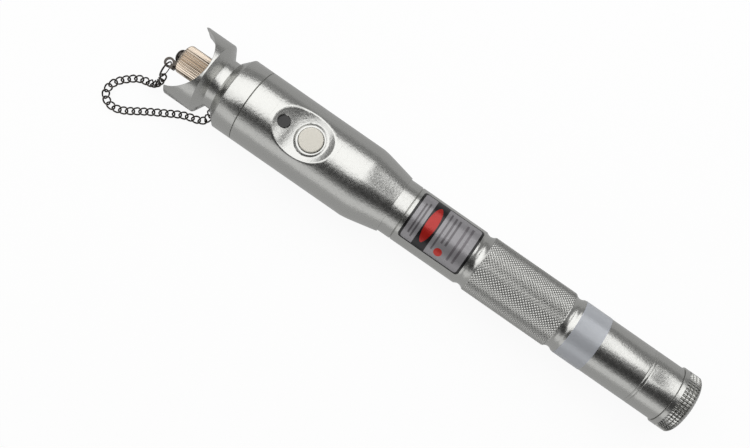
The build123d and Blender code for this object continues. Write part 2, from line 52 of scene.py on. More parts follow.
MM = 0.001

# %% [markdown]
# The camera stands almost straight above the pen, 341 mm over its axis, leaning 9 degrees to the side
# that the chain lies on. It is rolled so that the pen runs down to the right by 34.8 degrees, and the
# lens is the one that makes a millimetre on the axis 3.17 pixels at a frame of 750 pixels.

# %% Camera
# The tilts and the offset were set against the photograph's outline, until both agreed to a pixel.
ROLL = math.radians(34.82)
LEAN = math.radians(9.0)
DISTANCE = 341 * MM
FRAME_PX = 750
FOCAL_PX = 1080
AIM_X = 92.9 * MM
SHIFT_PX = (-54, 4.7)
SENSOR = 36.0

towards = Vector((0, -math.sin(LEAN), math.cos(LEAN)))
across_pen = Vector((0, math.cos(LEAN), math.sin(LEAN)))
along_pen = Vector((1, 0, 0))
right = math.cos(ROLL) * along_pen + math.sin(ROLL) * across_pen
up = -math.sin(ROLL) * along_pen + math.cos(ROLL) * across_pen

camera = bpy.data.objects.new("camera", bpy.data.cameras.new("camera"))
camera.data.sensor_width = SENSOR
camera.data.lens = FOCAL_PX / FRAME_PX * SENSOR
camera.data.shift_x, camera.data.shift_y = (pixels / FRAME_PX for pixels in SHIFT_PX)
camera.data.clip_start = 1 * MM
camera.data.clip_end = 10
stand = Vector((AIM_X, 0, 0)) + towards * DISTANCE
camera.matrix_world = Matrix([[right[i], up[i], towards[i], stand[i]] for i in range(3)] + [[0, 0, 0, 1]])
bpy.context.scene.collection.objects.link(camera)
bpy.context.scene.camera = camera
bpy.context.scene.view_settings.view_transform = "Standard"
print("lens in mm:", round(camera.data.lens, 1))

# %% [markdown]
# The pen lies on a white sheet under one large soft box that hangs level over it, turned almost as
# the camera is, which gives the bright stripe along each cylinder. A weaker panel lights the near side.
# The sheet looks plain white to the camera, half as bright in the metal, and keeps a little shadow.

# %% Lights, world and floor
SHEET_Z = -12.52 * MM
SHEET_REACH = 3.0
BOX_PLACE = (-140 * MM, 350 * MM, 550 * MM)
PANEL_PLACE = (95 * MM, -580 * MM, 130 * MM)
FLAG_CORNERS = [(140, 15), (212, 15), (212, 620), (140, 620)]
FLAG_Z = 300
ROOM_LEVEL, GAP_LEVEL = 0.36, 0.045


def soft_box(name, place, aim, size, watts):
    """A rectangular lamp at a place, turned so that it shines at another place."""
    lamp = bpy.data.lights.new(name, "AREA")
    lamp.shape = "RECTANGLE"
    lamp.size, lamp.size_y = size
    lamp.energy = watts
    panel = bpy.data.objects.new(name, lamp)
    panel.location = place
    panel.rotation_euler = (Vector(aim) - Vector(place)).to_track_quat("-Z", "Y").to_euler()
    bpy.context.scene.collection.objects.link(panel)
    return panel


def hex_to_linear(code):
    """The linear colour of an sRGB hex code: each channel is divided by 12.92 near black, and is
    otherwise raised to the power 2.4 after 0.055 is added and the sum divided by 1.055."""
    srgb = np.array([int(code[i : i + 2], 16) for i in (1, 3, 5)]) / 255
    linear = np.where(srgb <= 0.04045, srgb / 12.92, ((srgb + 0.055) / 1.055) ** 2.4)
    return (*linear.tolist(), 1.0)


def add_node(tree, kind, settings=None, **links):
    """Adds one shader node. Settings are attributes or input values by name, and links are sockets
    that feed an input, whose name is written with _ for a space."""
    node = tree.nodes.new(kind)
    for key, value in (settings or {}).items():
        if isinstance(key, int) or key in node.inputs:
            node.inputs[key].default_value = value
        else:
            setattr(node, key, value)
    for key, socket in links.items():
        name = key.replace("_", " ")
        target = node.inputs[int(key[1:])] if key[0] == "i" and key[1:].isdigit() else node.inputs[name]
        tree.links.new(socket, target)
    return node


def new_material(name):
    """A material with an empty node tree."""
    material = bpy.data.materials.new(name)
    material.use_nodes = True
    material.node_tree.nodes.clear()
    return material


under_box = (*BOX_PLACE[:2], 0)
long_box = soft_box("long_box", BOX_PLACE, under_box, (1500 * MM, 1000 * MM), 7.4)
long_box.rotation_euler = (0, 0, math.radians(28))
soft_box("near_panel", PANEL_PLACE, (PANEL_PLACE[0], 0, 0), (1200 * MM, 340 * MM), 0.85)

# A black flag hangs under the soft box, beyond the rear tube. It breaks the long highlight at the
# head's taper and along the grip, and shows only in the metal.
flag_mesh = bpy.data.meshes.new("flag")
flag_mesh.from_pydata([(x * MM, y * MM, FLAG_Z * MM) for x, y in FLAG_CORNERS], [], [(0, 1, 2, 3)])
flag = bpy.data.objects.new("flag", flag_mesh)
flag.visible_camera = flag.visible_diffuse = flag.visible_shadow = False
bpy.context.scene.collection.objects.link(flag)
velvet = new_material("black velvet")
velvet_pile = add_node(velvet.node_tree, "ShaderNodeBsdfDiffuse", {"Color": hex_to_linear("#1A1A1A")})
add_node(velvet.node_tree, "ShaderNodeOutputMaterial", Surface=velvet_pile.outputs[0])
flag_mesh.materials.append(velvet)

# The room reflects as mid grey, with a dark gap over the near side where the photographer stands: a
# band in the tilt of the direction from straight up, which is the arctangent of -y over z.
world = bpy.data.worlds.new("studio")
world.use_nodes = True
sky = world.node_tree
sky.nodes.clear()
rays = add_node(sky, "ShaderNodeLightPath")
looking = add_node(sky, "ShaderNodeTexCoord")
direction = add_node(sky, "ShaderNodeSeparateXYZ", i0=looking.outputs["Generated"])
minus_y = add_node(sky, "ShaderNodeMath", {"operation": "MULTIPLY", 1: -1.0}, i0=direction.outputs["Y"])
tilt = add_node(
    sky, "ShaderNodeMath", {"operation": "ARCTAN2"}, i0=minus_y.outputs[0], i1=direction.outputs["Z"]
)


def ramp(start, end, low, high):
    """A smooth S over the tilt in radians, from low at its start to high at its end."""
    limits = {"From Min": start, "From Max": end, "To Min": low, "To Max": high}
    settings = {"interpolation_type": "SMOOTHSTEP", **limits}
    return add_node(sky, "ShaderNodeMapRange", settings, Value=tilt.outputs[0]).outputs[0]


rise, fall = ramp(0.05, 0.25, 0.0, 1.0), ramp(0.75, 1.0, 1.0, 0.0)
gap = add_node(sky, "ShaderNodeMath", {"operation": "MULTIPLY"}, i0=rise, i1=fall)
levels = {"To Min": ROOM_LEVEL, "To Max": GAP_LEVEL}
level = add_node(sky, "ShaderNodeMapRange", levels, Value=gap.outputs[0])
room = add_node(sky, "ShaderNodeBackground", Strength=level.outputs[0])
backdrop = add_node(sky, "ShaderNodeBackground", {"Color": hex_to_linear("#FFFFFF"), "Strength": 1.0})
seen = add_node(
    sky,
    "ShaderNodeMixShader",
    Fac=rays.outputs["Is Camera Ray"],
    i1=room.outputs[0],
    i2=backdrop.outputs[0],
)
add_node(sky, "ShaderNodeOutputWorld", Surface=seen.outputs[0])
bpy.context.scene.world = world

sheet_mesh = bpy.data.meshes.new("sheet")
sheet_corners = [(-1, -1), (1, -1), (1, 1), (-1, 1)]
sheet_points = [(x * SHEET_REACH, y * SHEET_REACH, SHEET_Z) for x, y in sheet_corners]
sheet_mesh.from_pydata(sheet_points, [], [(0, 1, 2, 3)])
sheet = bpy.data.objects.new("sheet", sheet_mesh)
bpy.context.scene.collection.objects.link(sheet)
paper = new_material("matt white paper")
pulp = paper.node_tree
paper_rays = add_node(pulp, "ShaderNodeLightPath")
paper_grain = add_node(pulp, "ShaderNodeTexNoise", {"Scale": 900.0})
paper_tone = add_node(
    pulp, "ShaderNodeMapRange", {"To Min": 0.86, "To Max": 0.9}, Value=paper_grain.outputs[0]
)
paper_diffuse = add_node(pulp, "ShaderNodeBsdfDiffuse", Color=paper_tone.outputs[0])
paper_level = add_node(
    pulp,
    "ShaderNodeMapRange",
    {"To Min": 0.5, "To Max": 1.0},
    Value=paper_rays.outputs["Is Camera Ray"],
)
paper_glow = add_node(pulp, "ShaderNodeEmission", Strength=paper_level.outputs[0])
paper_mix = add_node(
    pulp,
    "ShaderNodeMixShader",
    {"Fac": 0.93},
    i1=paper_diffuse.outputs[0],
    i2=paper_glow.outputs[0],
)
paper_direct = paper_rays.outputs["Is Camera Ray"]
for other in ("Is Glossy Ray", "Is Transmission Ray"):
    either = {"i0": paper_direct, "i1": paper_rays.outputs[other]}
    paper_direct = add_node(pulp, "ShaderNodeMath", {"operation": "MAXIMUM"}, **either).outputs[0]
paper_seen = add_node(
    pulp,
    "ShaderNodeMixShader",
    Fac=paper_direct,
    i1=paper_diffuse.outputs[0],
    i2=paper_mix.outputs[0],
)
add_node(pulp, "ShaderNodeOutputMaterial", Surface=paper_seen.outputs[0])
sheet_mesh.materials.append(paper)

# %% [markdown]
# Most of the pen is aluminium that was blasted with fine glass beads and clear anodised, which leaves a
# soft satin with a fine orange-peel grain. The other metals are plated or turned. One recipe serves all
# of them: a noise at the size of the grit moves the roughness and the bump, and a broader noise keeps
# the colour from being dead even. The Bevel node rounds the light on edges that have no chamfer.

# %% Grain and metal recipes
def grained(tree, roughness, spread, grain_mm, grain_depth, edge_mm=0.0):
    """Nodes for a fine noise in Object coordinates, with grains of grain_mm, and for the roughness and
    the bump that follow it. The roughness goes up and down by its share spread, and sharp edges are
    rounded by edge_mm where that isn't 0. Gives the four."""
    place = add_node(tree, "ShaderNodeTexCoord")
    grain = add_node(
        tree,
        "ShaderNodeTexNoise",
        {"Scale": 1 / (grain_mm * MM), "Detail": 3.0},
        Vector=place.outputs["Object"],
    )
    low, high = roughness * (1 - spread), min(1.0, roughness * (1 + spread))
    limits = {"From Min": 0.3, "From Max": 0.7, "To Min": low, "To Max": high}
    rough = add_node(tree, "ShaderNodeMapRange", limits, Value=grain.outputs[0])
    relief = {"Strength": 1.0, "Distance": grain_depth * MM}
    bump = add_node(tree, "ShaderNodeBump", relief, Height=grain.outputs[0])
    if edge_mm:
        soft_edge = add_node(tree, "ShaderNodeBevel", {"samples": 4, "Radius": edge_mm * MM})
        tree.links.new(soft_edge.outputs[0], bump.inputs["Normal"])
    return place, grain, rough, bump


def metal(name, colour, roughness, grain_mm, grain_depth, cloud=0.04, edge_mm=0.05):
    """A metal whose roughness and bump follow a noise with grains of grain_mm, while its colour is
    darkened by up to cloud with a noise ten times as broad."""
    material = new_material(name)
    tree = material.node_tree
    place, grain, rough, bump = grained(tree, roughness, 0.12, grain_mm, grain_depth, edge_mm)
    broad = add_node(
        tree,
        "ShaderNodeTexNoise",
        {"Scale": 0.1 / (grain_mm * MM), "Detail": 4.0},
        Vector=place.outputs["Object"],
    )
    bright = hex_to_linear(colour)
    dull = (*[c * (1 - cloud) for c in bright[:3]], 1.0)
    tint = add_node(
        tree, "ShaderNodeMix", {"data_type": "RGBA", 6: dull, 7: bright}, Factor=broad.outputs[0]
    )
    shader = add_node(
        tree,
        "ShaderNodeBsdfPrincipled",
        {"Metallic": 1.0},
        Base_Color=tint.outputs[2],
        Roughness=rough.outputs[0],
        Normal=bump.outputs[0],
    )
    add_node(tree, "ShaderNodeOutputMaterial", Surface=shader.outputs[0])
    return material


# Blasted with fine beads: real grains are about 0.1 mm, drawn at 0.8 mm so that they show.
BLASTED_ALUMINIUM = metal("bead-blasted aluminium", "#BFBFBC", 0.26, 0.8, 0.04)
TURNED_BRASS = metal("turned brass", "#C9A45A", 0.25, 0.2, 0.003)
# Bright nickel has a warm cast next to aluminium, and mirrors more.
NICKEL_PLATE = metal("bright nickel plate", "#C2B5A6", 0.16, 0.3, 0.002, edge_mm=0.02)
# Chain wire in dark nickel, tumbled smooth, so that it glints.
DARK_NICKEL = metal("dark nickel", "#4A4642", 0.15, 0.2, 0.001, edge_mm=0.03)
SPRING_STEEL = metal("spring steel", "#9B9B98", 0.25, 0.2, 0.002)
print("metals:", [m.name for m in bpy.data.materials if m.name != paper.name])

# %% [markdown]
# Plastics, rubber, ceramic and glass share a second recipe. Their colour is the same all through, so
# only a fine moulded texture and a slight change of tone from place to place are needed.

# %% Plastic recipe
def plastic(name, colour, roughness, grain_mm=0.3, grain_depth=0.004, transmission=0.0, edge_mm=0.1):
    """A plastic, rubber, ceramic or glass: one colour, darkened by up to a tenth where a fine noise is
    low, with a bump and roughness that follow the same noise."""
    material = new_material(name)
    tree = material.node_tree
    _, grain, rough, bump = grained(tree, roughness, 0.15, grain_mm, grain_depth, edge_mm)
    full = hex_to_linear(colour)
    less = (*[c * 0.9 for c in full[:3]], 1.0)
    tint = add_node(tree, "ShaderNodeMix", {"data_type": "RGBA", 6: less, 7: full}, Factor=grain.outputs[0])
    shader = add_node(
        tree,
        "ShaderNodeBsdfPrincipled",
        {"IOR": 1.5, "Transmission Weight": transmission},
        Base_Color=tint.outputs[2],
        Roughness=rough.outputs[0],
        Normal=bump.outputs[0],
    )
    add_node(tree, "ShaderNodeOutputMaterial", Surface=shader.outputs[0])
    return material


# Matt ABS, moulded against a sparked mould.
BUTTON_ABS = plastic("matt grey ABS", "#DCD8CD", 0.5, 0.25, 0.006)
BLACK_ABS = plastic("black ABS", "#1B1B1C", 0.4)
SMOKED_ACRYLIC = plastic("smoked acrylic", "#070606", 0.3, 0.6, 0.001)
RED_RESIN = plastic("red lamp resin", "#B51F18", 0.12, 0.6, 0.001, transmission=0.5)
SOLDER_MASK = plastic("green solder mask", "#1E5B34", 0.3)
NATURAL_NYLON = plastic("natural nylon", "#D9D7CC", 0.45)
BLACK_RUBBER = plastic("nitrile rubber", "#161616", 0.6)
ZIRCONIA = plastic("polished zirconia", "#EFEEE6", 0.1, 0.6, 0.001)
CELL_JACKET = plastic("shrink film on a cell", "#26282C", 0.25, 0.8, 0.002)
LENS_GLASS = plastic("lens glass", "#EAF2F4", 0.02, 0.8, 0.0005, transmission=1.0)
print("materials so far:", [m.name for m in bpy.data.materials])

# %% [markdown]
# Every CAD node that keeps its own mesh gets its material here. Its mesh is loose triangles, so two
# modifiers finish it without touching it: Weld joins the triangles, and Edge Split parts them again at
# real edges, so that round walls shade as round and corners stay sharp.

# %% Dress the CAD nodes
FINISHES = {
    "satin_aluminium": BLASTED_ALUMINIUM,
    "nickel_plate": NICKEL_PLATE,
    "blackened_steel": DARK_NICKEL,
    "brass": TURNED_BRASS,
    "ceramic": ZIRCONIA,
    "glass": LENS_GLASS,
    "button_cap": BUTTON_ABS,
    "black_plastic": BLACK_ABS,
    "circuit_board": SOLDER_MASK,
    "carrier_plastic": NATURAL_NYLON,
    "lamp": RED_RESIN,
    "smoked_window": SMOKED_ACRYLIC,
    "label_print": NICKEL_PLATE,
    "seal_paper": NICKEL_PLATE,
    "rubber": BLACK_RUBBER,
    "steel": SPRING_STEEL,
    "cell_jacket": CELL_JACKET,
}
slot_of = {part["node"]: part["material_slot"] for part in frame["record"]["subparts"]}
for name, node in nodes.items():
    node.data.materials.clear()
    node.data.materials.append(FINISHES[slot_of[name]])
    node.data.polygons.foreach_set("use_smooth", np.ones(len(node.data.polygons), bool))
    weld = node.modifiers.new("weld", "WELD")
    weld.merge_threshold = 0.002 * MM
    split = node.modifiers.new("split", "EDGE_SPLIT")
    split.split_angle = math.radians(32)
print("dressed nodes:", len(nodes))

# %% [markdown]
# Most new pieces are turned on a lathe in real life, and are made here in the same way: a closed
# outline of (x, radius) points is carried round the pen's axis. Small chamfers at the corners of the
# outline catch the light as the real broken edges do.

# %% Lathe helpers
def to_object(name, points, faces, body, material, slot, *stands_for, sharp=35.0):
    """A mesh object from arrays of points in metres and of faces, with smooth shading up to the sharp
    angle. It rides on a body and stands for the CAD nodes that it covers."""
    mesh = bpy.data.meshes.new(name)
    mesh.from_pydata(points.reshape(-1, 3).tolist(), [], faces.tolist())
    work = bmesh.new()
    work.from_mesh(mesh)
    bmesh.ops.remove_doubles(work, verts=work.verts, dist=0.0005 * MM)
    bmesh.ops.dissolve_degenerate(work, edges=work.edges, dist=0.0001 * MM)
    if work.calc_volume(signed=True) < 0:
        bmesh.ops.reverse_faces(work, faces=work.faces)
    work.to_mesh(mesh)
    work.free()
    mesh.polygons.foreach_set("use_smooth", np.ones(len(mesh.polygons), bool))
    mesh.set_sharp_from_angle(angle=math.radians(sharp))
    mesh.materials.append(material)
    piece = bpy.data.objects.new(name, mesh)
    bpy.context.scene.collection.objects.link(piece)
    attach(piece, body)
    if stands_for:
        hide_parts(*stands_for)
    print(name, "faces:", len(mesh.polygons))
    return piece


def round_axis(x, radius, theta):
    """Points by distance along the pen, radius and angle. The angle is 0 at +Z and grows towards +Y."""
    return np.stack(np.broadcast_arrays(x, radius * np.sin(theta), radius * np.cos(theta)), -1)


def grid_faces(rows, columns, close_rows=False, close_columns=False):
    """The quads of a grid of points that is stored row by row. Each joins a point, the next in its
    row and the two beside them in the next row, and a closed direction joins its end to its start."""
    r = np.arange(rows if close_rows else rows - 1)
    c = np.arange(columns if close_columns else columns - 1)
    r, c = np.meshgrid(r, c, indexing="ij")
    r1, c1 = (r + 1) % rows, (c + 1) % columns
    corners = [r * columns + c, r * columns + c1, r1 * columns + c1, r1 * columns + c]
    return np.stack(corners, -1).reshape(-1, 4)


def broken_edges(outline, edge):
    """The closed outline with each corner cut back by edge on both its sides, or by a third of the
    shorter side where that is less. Corners on the axis stay."""
    p = np.array(outline, float)
    before, after = np.roll(p, 1, 0) - p, np.roll(p, -1, 0) - p
    long_b, long_a = np.linalg.norm(before, axis=1), np.linalg.norm(after, axis=1)
    cut = np.minimum(edge, np.minimum(long_b, long_a) / 3)
    cut = np.where(p[:, 1] < 1e-6, 0.0, cut)[:, None]
    pair = np.stack([p + before / long_b[:, None] * cut, p + after / long_a[:, None] * cut], 1)
    return pair.reshape(-1, 2)


def turned(name, outline, body, material, slot, *stands_for, edge=0.12, around=240, relief=None):
    """A piece turned about the pen's axis from a closed outline of (x, radius) in mm: each outline
    point runs round a circle of its radius. A relief function of x, radius and angle may move the
    radius, as a knurling tool does."""
    loop = broken_edges(outline, edge) if edge else np.array(outline, float)
    angle = np.linspace(0, 2 * np.pi, around, endpoint=False)
    x = np.repeat(loop[:, :1], around, 1)
    radius = np.repeat(loop[:, 1:], around, 1)
    theta = np.repeat(angle[None], len(loop), 0)
    if relief is not None:
        radius = relief(x, radius, theta)
    points = round_axis(x, radius, theta) * MM
    faces = grid_faces(len(loop), around, True, True)
    return to_object(name, points, faces, body, material, slot, *stands_for)


print("quads in a 4 by 6 tube:", len(grid_faces(4, 6, False, True)))

# %% [markdown]
# The grip is knurled with two crossing sets of fine spiral teeth, which leaves rows of small diamonds.
# On the real pen they are about 0.8 mm apart. The rest of the front tube is plain, with a fine turned
# line near the head and a shallow groove at each end of the grip.

# %% Front tube
TUBE_R, BORE_R = 9.6, 7.5
HEAD_END, JOINT_X, TAIL_X, TAIL_END = 79.6, 151.6, 184.2, 191.2
GRIP_START, GRIP_END, GRIP_R = 111.9, 143.1, 9.9
KNURL_PITCH, KNURL_DEPTH = 0.8, 0.3


def diamonds(x, radius, theta):
    """Lowers the grip's surface along two crossing families of helical grooves. Each groove is a
    triangle wave of the distance round plus or minus the distance along, and the deeper one counts."""
    count = round(2 * np.pi * GRIP_R / (KNURL_PITCH * math.sqrt(2)))
    round_phase = theta * count / (2 * np.pi)
    along_phase = (x - GRIP_START) / (KNURL_PITCH * math.sqrt(2))
    one = np.abs((round_phase + along_phase) % 1 - 0.5) * 2
    two = np.abs((round_phase - along_phase) % 1 - 0.5) * 2
    on_grip = (radius > GRIP_R - 0.01) & (x > GRIP_START + 0.1) & (x < GRIP_END - 0.1)
    return radius - np.where(on_grip, KNURL_DEPTH * np.maximum(one, two), 0)


def groove(start, end, depth, steps=8):
    """Outline points of a round-bottomed groove in the tube: half a sine wave of the given depth."""
    t = np.linspace(0, 1, steps + 1)
    return [(start + (end - start) * s, TUBE_R - depth * math.sin(math.pi * s)) for s in t]


# Six points to each tooth, both along and around, so that every diamond gets the same points.
TOOTH_STEP = KNURL_PITCH * math.sqrt(2) / 6
grip_x = GRIP_START + TOOTH_STEP * np.arange(1, 165)
front_outline = (
    [(HEAD_END, 8.9), (HEAD_END, TUBE_R), (84.0, TUBE_R), (84.25, TUBE_R - 0.24), (84.5, TUBE_R)]
    + groove(GRIP_START - 3.2, GRIP_START, 0.6)
    + [(GRIP_START, GRIP_R - 0.2)]
    + [(x, GRIP_R) for x in grip_x]
    + [(GRIP_END, GRIP_R - 0.2)]
    + groove(GRIP_END, GRIP_END + 3.2, 0.6)
    + [(JOINT_X, TUBE_R), (JOINT_X, 8.55), (JOINT_X - 6, 8.55), (JOINT_X - 6, BORE_R)]
    + [(HEAD_END - 5.95, BORE_R), (HEAD_END - 5.95, 8.9)]
)
turned(
    "front_tube_turned", front_outline, "pen", BLASTED_ALUMINIUM, "satin_aluminium", "front_tube",
    edge=0, around=330, relief=diamonds,
)

# %% Rear tube
rear_outline = [
    (JOINT_X + 0.04, 8.5), (JOINT_X + 0.04, TUBE_R), (173.1, TUBE_R), (173.35, TUBE_R - 0.22),
    (173.6, TUBE_R), (174.1, TUBE_R), (174.35, TUBE_R - 0.22), (174.6, TUBE_R),
    (TAIL_X, TUBE_R), (TAIL_X, 8.36), (TAIL_X - 6.05, 8.36), (TAIL_X - 6.05, BORE_R),
    (JOINT_X - 5.95, BORE_R), (JOINT_X - 5.95, 8.5),
]
turned("rear_tube_turned", rear_outline, "pen", BLASTED_ALUMINIUM, "satin_aluminium", "rear_tube", edge=0.05)

# %% [markdown]
# The tail cap has a smooth collar, then coarse straight teeth that ring grooves cut into rows. Its
# spigot carries the thread that shows as the cap is unscrewed.

# %% Tail cap
TAIL_R, TAIL_TEETH = 10.15, 54


def tail_teeth(x, radius, theta):
    """Cuts V grooves along the cap behind its collar: the depth is a triangle wave round the cap,
    cut to a flat crest, and it is eased in at the collar. Ring grooves part the teeth into rows."""
    wave = np.abs((theta * TAIL_TEETH / (2 * np.pi)) % 1 - 0.5) * 2
    v_cut = 0.55 * np.clip((wave - 0.3) / 0.7, 0, 1)
    inside = np.clip((x - 185.8) / 0.15, 0, 1) * (radius > 8.6)
    return radius - v_cut * inside


def thread(x, radius, theta):
    """Tail teeth outside, and on the spigot a single-start thread of 1 mm pitch: the radius falls
    with a triangle wave of the distance along less the share of a turn."""
    on_spigot = (radius > 8.2) & (radius < 8.4) & (x < 182.6) & (x > TAIL_X - 5.8)
    wave = np.abs((x - theta / (2 * np.pi)) % 1 - 0.5) * 2
    return tail_teeth(x, radius, theta) - np.where(on_spigot, 0.5 * wave, 0)


ring_rows = []
for centre in (187.1, 188.35, 189.6):
    ring_rows += [(centre - 0.24, TAIL_R), (centre - 0.1, TAIL_R - 0.42), (centre + 0.1, TAIL_R - 0.42)]
    ring_rows += [(centre + 0.24, TAIL_R)]
tail_outline = (
    [(TAIL_X + 0.05, 8.3), (TAIL_X + 0.05, TAIL_R - 0.12), (TAIL_X + 0.17, TAIL_R)]
    + [(185.8, TAIL_R), (185.95, TAIL_R)]
    + ring_rows
    + [(189.9, TAIL_R), (190.35, TAIL_R - 0.32), (190.8, TAIL_R - 0.85), (191.1, TAIL_R - 1.5)]
    + [(TAIL_END, 8.1), (TAIL_END, 0), (TAIL_END - 2, 0), (TAIL_END - 2, 6.4), (178.2, 6.4), (178.2, 8.2)]
    + [(x, 8.3) for x in np.arange(178.4, 182.7, 0.125)]
    + [(182.8, 8.3), (182.8, 7.6), (183.5, 7.6), (183.5, 8.3)]
)
turned(
    "tail_cap_turned", tail_outline, "tail", BLASTED_ALUMINIUM, "satin_aluminium", "tail_cap",
    edge=0, around=432, relief=thread,
)

# %% [markdown]
# The dust cap is a small nickel-plated thimble with straight ribs for the fingers, closed in front,
# where the rivet holds the swivel.

# %% Dust cap and rivet
CAP_R, CAP_RIBS = 4.9, 32


def cap_ribs(x, radius, theta):
    """Round-bottomed flutes along the cap: the radius falls with a cosine wave round it, wherever
    the radius is near the full one, so the rounded front edge runs out smoothly."""
    wave = 0.5 - 0.5 * np.cos(theta * CAP_RIBS)
    return radius - 0.45 * wave * np.clip((radius - 4.3) / 0.4, 0, 1)


cap_outline = [
    (-1.6, 0.88), (-1.6, 3.9), (-1.52, 4.2), (-1.36, 4.5), (-1.1, 4.74), (-0.8, CAP_R),
    (8.25, CAP_R), (8.4, 4.78), (8.4, 4.05), (-0.6, 4.05), (-0.6, 0.88),
]
turned(
    "dust_cap_ribbed", cap_outline, "cap", NICKEL_PLATE, "nickel_plate", "dust_cap",
    edge=0, around=400, relief=cap_ribs,
)

dome = [(-2.4 - 1.5 * math.cos(a), 2.3 * math.sin(a)) for a in np.linspace(0, math.pi / 2, 14)]
rivet_outline = dome + [(-2.4, 0.8), (-0.6, 0.8), (-0.6, 1.5), (-0.2, 1.5), (-0.2, 0)]
turned(
    "swivel_rivet_dome", rivet_outline, "cap", DARK_NICKEL, "blackened_steel", "swivel_rivet",
    edge=0, around=96,
)

# %% [markdown]
# The nose guard is a turned cup with a scoop milled straight down across it, which leaves two horns.
# Its front rim is therefore a function of the angle and the radius: how far the round cutter reached.

# %% Nose guard
BODY_R, NOSE_LENGTH, SPIGOT_END = 12.5, 25.1, 31.1
SCOOP_R, SCOOP_LEAD = 11.4, 2.05


def scoop_rim(radius, theta):
    """Where the cutter left the rim: the cutter's circle, of SCOOP_R about a point SCOOP_LEAD ahead of
    the port, at the sideways distance radius times sine, and never ahead of the port's mouth."""
    side = np.clip(SCOOP_R**2 - (radius * np.sin(theta)) ** 2, 0, None)
    return np.maximum(0, np.sqrt(side) - SCOOP_LEAD)


around = 360
theta = np.linspace(0, 2 * np.pi, around, endpoint=False)[None]
rim_r = np.array([7.0, 7.12] + list(np.linspace(7.3, 12.2, 24)) + [12.38, 12.5])[:, None]
rim_x = scoop_rim(rim_r, theta)
rim_x[0] += 0.12
rim_x[-1] += 0.12
behind = [
    (9.9, 12.5), (10.0, 12.42), (12.22, 8.72), (12.4, 8.6), (15.4, 8.6), (15.5, 8.7), (15.5, 9.42),
    (15.56, 9.56), (18.3, 12.42), (18.45, 12.5), (24.98, 12.5), (25.1, 12.38), (25.1, 10.4),
    (31.1, 10.4), (31.1, 4.55), (11.0, 4.55), (11.0, 7.0),
]
behind = np.array(behind)
x = np.concatenate([rim_x, np.repeat(behind[:, :1], around, 1)])
r = np.concatenate([np.repeat(rim_r, around, 1), np.repeat(behind[:, 1:], around, 1)])
points = round_axis(x, r, theta) * MM
to_object(
    "nose_guard_turned", points, grid_faces(len(x), around, True, True), "pen", BLASTED_ALUMINIUM,
    "satin_aluminium", "nose_guard",
)

# %% [markdown]
# The head is a thick barrel that tapers to the tube. A milling cutter, turning about a line across the
# pen, left the finger dish in its top, so the dish is straight across and round along the pen. Its
# outline is where the two cylinders meet. The surface is made of fans that share their edges: from a
# window in the barrel in to the outline, and from the outline in to the button's and light's holes.

# %% Head shell: numbers and curves
DISH_X, DISH_LENGTH, DISH_DEPTH, BOWL = 45.1, 20.8, 2.54, 1.0
DISH_R = ((DISH_LENGTH / 2) ** 2 + DISH_DEPTH**2) / (2 * DISH_DEPTH)
DISH_Z = BODY_R - DISH_DEPTH + DISH_R
BUTTON_X, LIGHT_X, SPLIT_X = 47.75, 37.7, 42.2
SPOT_R, SPOT_Z, HOLE_R, LIGHT_R, HEAD_BORE = 4.7, 9.95, 4.05, 2.0, 8.2
SEAT_R, SEAT_X = 10.45, HEAD_END - 6
WINDOW_X, WINDOW_TURN = (33.4, 56.8), 68
LIP = 0.16


def dish_z(x):
    """Height of the dish's floor over the axis: the lowest point of a circle of DISH_R, DISH_Z up."""
    return DISH_Z - np.sqrt(DISH_R**2 - (x - DISH_X) ** 2)


def dish_floor(flat):
    """Points of the milled floor over (x, y) places. It is the round of dish_z, and the cutter's ball
    end leaves it deeper by BOWL times 1 less the square of the share of the way to each edge, along
    and across. That eases to nothing over 0.8 mm round the spot face."""
    x, y = flat[..., 0], flat[..., 1]
    half = np.sqrt(np.clip(BODY_R**2 - dish_z(x) ** 2, 0.1, None))
    along = np.clip(1 - ((x - DISH_X) / (DISH_LENGTH / 2)) ** 2, 0, 1)
    across = np.clip(1 - (y / half) ** 2, 0, 1)
    ease = np.clip((np.hypot(x - BUTTON_X, y) - SPOT_R) / 0.8, 0, 1)
    return np.stack([x, y, dish_z(x) - BOWL * along * across * ease], -1)


def outline_arc(x):
    """Distance round the barrel from its top line to the dish's outline, at a place along the pen."""
    inside = np.clip(dish_z(x) / BODY_R, -1, 1)
    return BODY_R * np.arccos(inside)


def on_barrel(x, arc, radius=BODY_R):
    """Points on a cylinder, from the distance along it and the distance round it from the top."""
    return round_axis(x, radius, arc / radius)


def fan(start, end, steps):
    """Rows of points that go in equal steps from one row to another."""
    t = np.linspace(0, 1, steps + 1)[:, None, None]
    return start[None] * (1 - t) + end[None] * t


dish_half_width = float(BODY_R * np.sin(outline_arc(DISH_X) / BODY_R))
print("dish radius in mm:", round(DISH_R, 2), "half width:", round(dish_half_width, 2))

# %% Head shell: the barrel with a window in it
AROUND = 240
TURN = 2 * np.pi / AROUND
columns_x = np.linspace(*WINDOW_X, 73)
taper = np.linspace(0, 1, 22)[1:]
taper_x = 67.0 + 12.6 * taper
taper_r = BODY_R - (0.756 * taper + 2.814 * taper**2 - 1.12 * taper**3 + 2.3 * (taper * (1 - taper)) ** 2)
front_x = np.array([NOSE_LENGTH, NOSE_LENGTH, 25.4, 29.0])
front_r = np.array([SEAT_R, 12.2, BODY_R, BODY_R])
barrel_x = np.concatenate([front_x, columns_x, [60.0, 64.0, 67.0], taper_x, [HEAD_END, SEAT_X, SEAT_X]])
barrel_r = np.concatenate([front_r, np.full(76, BODY_R), taper_r, [8.95, 8.95, HEAD_BORE]])
half = WINDOW_TURN // 2
turn = np.arange(AROUND + 1) - AROUND // 2
angle = turn * TURN
barrel = round_axis(barrel_x[:, None], barrel_r[:, None], angle)
faces = grid_faces(len(barrel_x), AROUND + 1)
row, column = faces[:, 0] // (AROUND + 1), faces[:, 0] % (AROUND + 1)
